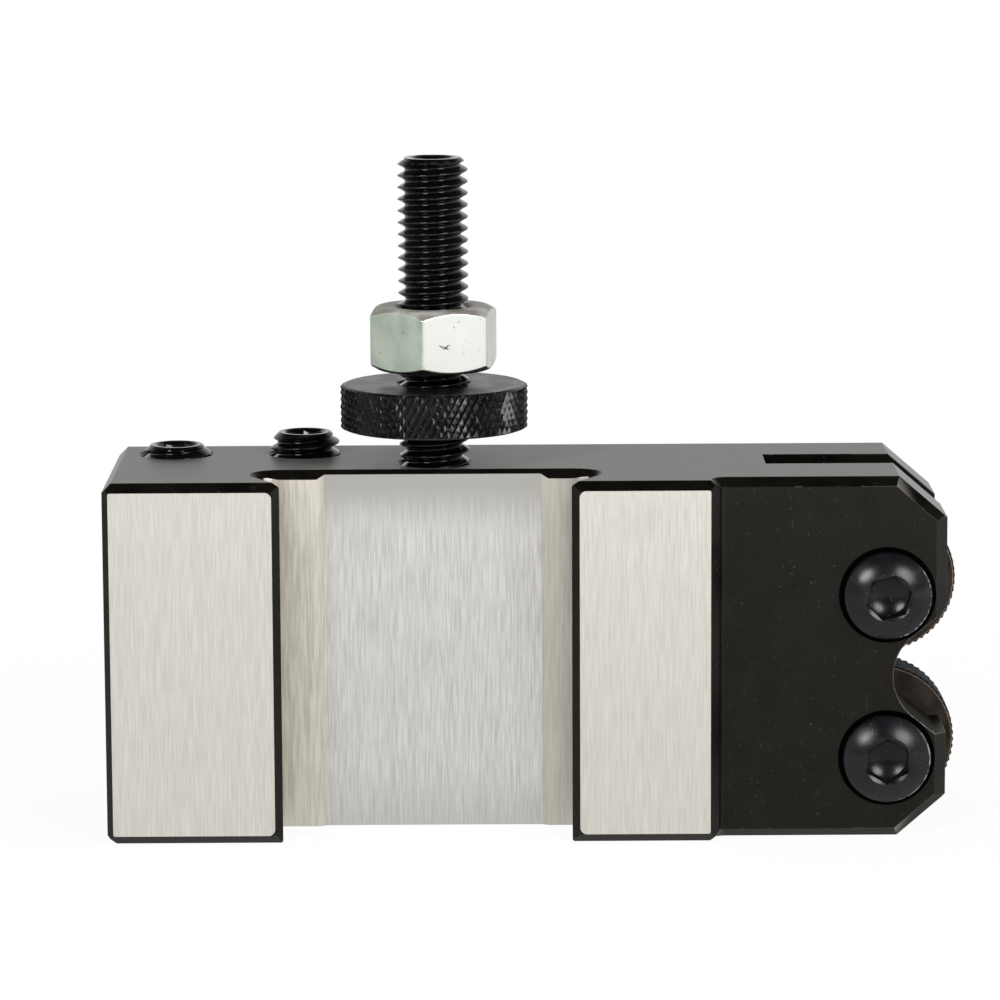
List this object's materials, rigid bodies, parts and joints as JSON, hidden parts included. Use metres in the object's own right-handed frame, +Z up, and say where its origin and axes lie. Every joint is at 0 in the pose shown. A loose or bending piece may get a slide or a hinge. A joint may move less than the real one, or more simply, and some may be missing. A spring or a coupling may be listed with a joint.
{
  "type": "quick change tool holder",
  "caption": "Lathe tool holder: a dovetail block with a height stud and nuts, a slot with clamp screws for a turning tool, and a fork with free-running knurling wheels at one end.",
  "frame": {"origin": "middle of the dovetail, in the plane of its two ground lands, at the height of the bottom face", "axes": "+X along the block towards the knurling wheels, +Y from the dovetail into the block, +Z up along the height stud"},
  "size_m": [0.1148, 0.0344, 0.0906],
  "materials": {
    "blackened_block": "black oxide, with ground bright dovetail faces",
    "blackened_screw": "glossy black oxide",
    "knurled_nut": "black oxide over a knurled rim",
    "zinc_nut": "bright zinc plate",
    "wheel_steel": "hardened dark steel"
  },
  "bodies": {
    "holder": {"holder_body": "blackened_block", "height_stud": "blackened_screw", "axle_screw_lower": "blackened_screw", "axle_screw_upper": "blackened_screw"},
    "height_nut": {"height_nut": "knurled_nut"},
    "lock_nut": {"lock_nut": "zinc_nut"},
    "outer_clamp_screw": {"clamp_screw_outer": "blackened_screw"},
    "inner_clamp_screw": {"clamp_screw_inner": "blackened_screw"},
    "lower_wheel": {"knurl_wheel_lower": "wheel_steel"},
    "upper_wheel": {"knurl_wheel_upper": "wheel_steel"}
  },
  "joints": [
    {"name": "lower_wheel_spin", "type": "hinge", "parent": "holder", "child": "lower_wheel", "pos_m": [0.0616, 0.0193, 0.0109], "axis": [0, 1, 0], "continuous": true},
    {"name": "upper_wheel_spin", "type": "hinge", "parent": "holder", "child": "upper_wheel", "pos_m": [0.0616, 0.0193, 0.0331], "axis": [0, 1, 0], "continuous": true},
    {"name": "height_nut_travel", "type": "slide", "parent": "holder", "child": "height_nut", "axis": [0, 0, 1], "range_m": [-0.0048, 0.01]},
    {"name": "lock_nut_travel", "type": "slide", "parent": "height_nut", "child": "lock_nut", "axis": [0, 0, 1], "range_m": [-0.002, 0.0095]},
    {"name": "outer_clamp_travel", "type": "slide", "parent": "holder", "child": "outer_clamp_screw", "axis": [0, 0, 1], "range_m": [-0.0185, 0.006]},
    {"name": "inner_clamp_travel", "type": "slide", "parent": "holder", "child": "inner_clamp_screw", "axis": [0, 0, 1], "range_m": [-0.0202, 0.006]}
  ]
}
